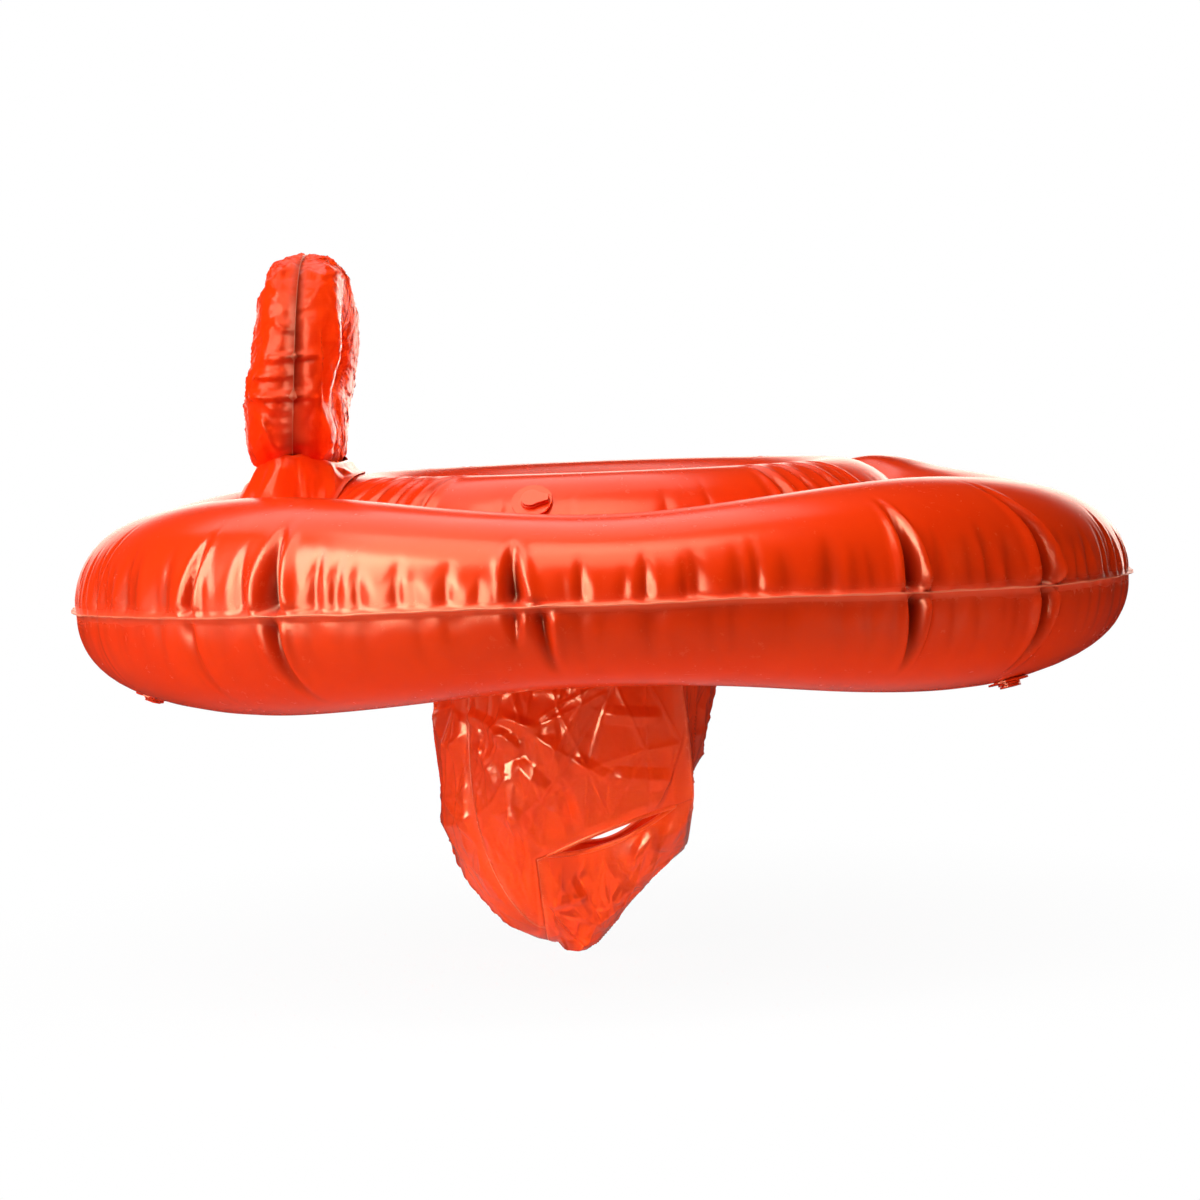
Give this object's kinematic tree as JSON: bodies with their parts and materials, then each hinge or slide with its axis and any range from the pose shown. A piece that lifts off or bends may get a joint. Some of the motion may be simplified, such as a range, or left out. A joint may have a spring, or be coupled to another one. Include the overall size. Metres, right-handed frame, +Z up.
{
  "type": "inflatable swim seat",
  "caption": "Inflatable ring seat for a small child: a double float ring, a folding backrest pillow and a hanging sling with leg holes, with push-in air valves.",
  "frame": {"origin": "middle of the float ring, at the height of its outer weld at the front and rear ends, which is about the waterline", "axes": "+X to the front of the seat, +Y to its left side, +Z up"},
  "size_m": [0.66, 0.6, 0.4439],
  "materials": {
    "orange_vinyl": "glossy stretched vinyl film",
    "deep_orange_vinyl": "glossy stretched vinyl film, deeper tone",
    "welded_orange_vinyl": "flat welded seam",
    "moulded_red_vinyl": "soft moulded valve vinyl",
    "clear_film": "thin pale film"
  },
  "bodies": {
    "float": {"outer_ring_top": "orange_vinyl", "outer_ring_belly": "deep_orange_vinyl", "outer_baffle_left": "clear_film", "outer_baffle_right": "clear_film", "inner_ring_top": "orange_vinyl", "inner_ring_belly": "deep_orange_vinyl", "backrest_anchor": "welded_orange_vinyl", "backrest_skirt": "orange_vinyl", "sling_waist_band": "welded_orange_vinyl", "sling_front_panel": "orange_vinyl", "sling_rear_panel": "orange_vinyl", "sling_left_panel": "orange_vinyl", "sling_right_panel": "orange_vinyl", "outer_rear_valve_seat": "moulded_red_vinyl", "outer_front_valve_seat": "moulded_red_vinyl", "inner_valve_seat": "moulded_red_vinyl"},
    "backrest": {"backrest_front": "orange_vinyl", "backrest_rear": "deep_orange_vinyl", "backrest_neck": "welded_orange_vinyl", "backrest_valve_seat": "moulded_red_vinyl"},
    "bucket": {"sling_crotch_panel": "deep_orange_vinyl", "leg_hem_left": "welded_orange_vinyl", "leg_hem_right": "welded_orange_vinyl"},
    "outer_rear_stem": {"outer_rear_valve_stem": "moulded_red_vinyl"},
    "outer_rear_plug": {"outer_rear_valve_plug": "moulded_red_vinyl"},
    "outer_rear_flap": {"outer_rear_valve_flap": "clear_film"},
    "outer_front_stem": {"outer_front_valve_stem": "moulded_red_vinyl"},
    "outer_front_plug": {"outer_front_valve_plug": "moulded_red_vinyl"},
    "outer_front_flap": {"outer_front_valve_flap": "clear_film"},
    "inner_stem": {"inner_valve_stem": "moulded_red_vinyl"},
    "inner_plug": {"inner_valve_plug": "moulded_red_vinyl"},
    "inner_flap": {"inner_valve_flap": "clear_film"},
    "backrest_stem": {"backrest_valve_stem": "moulded_red_vinyl"},
    "backrest_plug": {"backrest_valve_plug": "moulded_red_vinyl"},
    "backrest_flap": {"backrest_valve_flap": "clear_film"}
  },
  "joints": [
    {"name": "backrest_fold", "type": "hinge", "parent": "float", "child": "backrest", "pos_m": [-0.171, 0, 0.0785], "axis": [0, 1, 0], "range_deg": [-45, 55], "stiffness_Nm_per_rad": 0.6, "deforming": ["backrest_skirt"]},
    {"name": "sling_lift", "type": "slide", "parent": "float", "child": "bucket", "axis": [0, 0, 1], "range_m": [0, 0.1], "deforming": ["sling_front_panel", "sling_rear_panel", "sling_left_panel", "sling_right_panel"]},
    {"name": "outer_rear_stem_slide", "type": "slide", "parent": "float", "child": "outer_rear_stem", "axis": [-0.2355, -0.0259, -0.9715], "range_m": [0, 0.007]},
    {"name": "outer_rear_plug_hinge", "type": "hinge", "parent": "outer_rear_stem", "child": "outer_rear_plug", "pos_m": [-0.27252, -0.07835, -0.05151], "axis": [-0.9418, -0.2405, 0.2347], "range_deg": [0, 110]},
    {"name": "outer_rear_flap_hinge", "type": "hinge", "parent": "outer_rear_stem", "child": "outer_rear_flap", "pos_m": [-0.27214, -0.06376, -0.03506], "axis": [-0.9418, -0.2405, 0.2347], "range_deg": [0, 60], "stiffness_Nm_per_rad": 0.0002},
    {"name": "outer_front_stem_slide", "type": "slide", "parent": "float", "child": "outer_front_stem", "axis": [0.222, -0.158, -0.9622], "range_m": [0, 0.007]},
    {"name": "outer_front_plug_hinge", "type": "hinge", "parent": "outer_front_stem", "child": "outer_front_plug", "pos_m": [0.24064, -0.1471, -0.0537], "axis": [0.7751, -0.5701, 0.2725], "range_deg": [0, 110]},
    {"name": "outer_front_flap_hinge", "type": "hinge", "parent": "outer_front_stem", "child": "outer_front_flap", "pos_m": [0.22835, -0.15627, -0.03793], "axis": [0.7751, -0.5701, 0.2725], "range_deg": [0, 60], "stiffness_Nm_per_rad": 0.0002},
    {"name": "inner_stem_slide", "type": "slide", "parent": "float", "child": "inner_stem", "axis": [-0.1528, -0.7103, 0.6871], "range_m": [0, 0.007]},
    {"name": "inner_plug_hinge", "type": "hinge", "parent": "inner_stem", "child": "inner_plug", "pos_m": [-0.02873, -0.18419, 0.06596], "axis": [0.1445, 0.6717, 0.7266], "range_deg": [0, 110]},
    {"name": "inner_flap_hinge", "type": "hinge", "parent": "inner_stem", "child": "inner_flap", "pos_m": [-0.04049, -0.16944, 0.05466], "axis": [0.1445, 0.6717, 0.7266], "range_deg": [0, 60], "stiffness_Nm_per_rad": 0.0002},
    {"name": "backrest_stem_slide", "type": "slide", "parent": "backrest", "child": "backrest_stem", "axis": [-0.993, 0.0172, 0.117], "range_m": [0, 0.007]},
    {"name": "backrest_plug_hinge", "type": "hinge", "parent": "backrest_stem", "child": "backrest_plug", "pos_m": [-0.205, 0.06769, 0.1738], "axis": [0.0521, 0.9517, 0.3027], "range_deg": [0, 110]},
    {"name": "backrest_flap_hinge", "type": "hinge", "parent": "backrest_stem", "child": "backrest_flap", "pos_m": [-0.19022, 0.07189, 0.15806], "axis": [0.0521, 0.9517, 0.3027], "range_deg": [0, 60], "stiffness_Nm_per_rad": 0.0002}
  ]
}
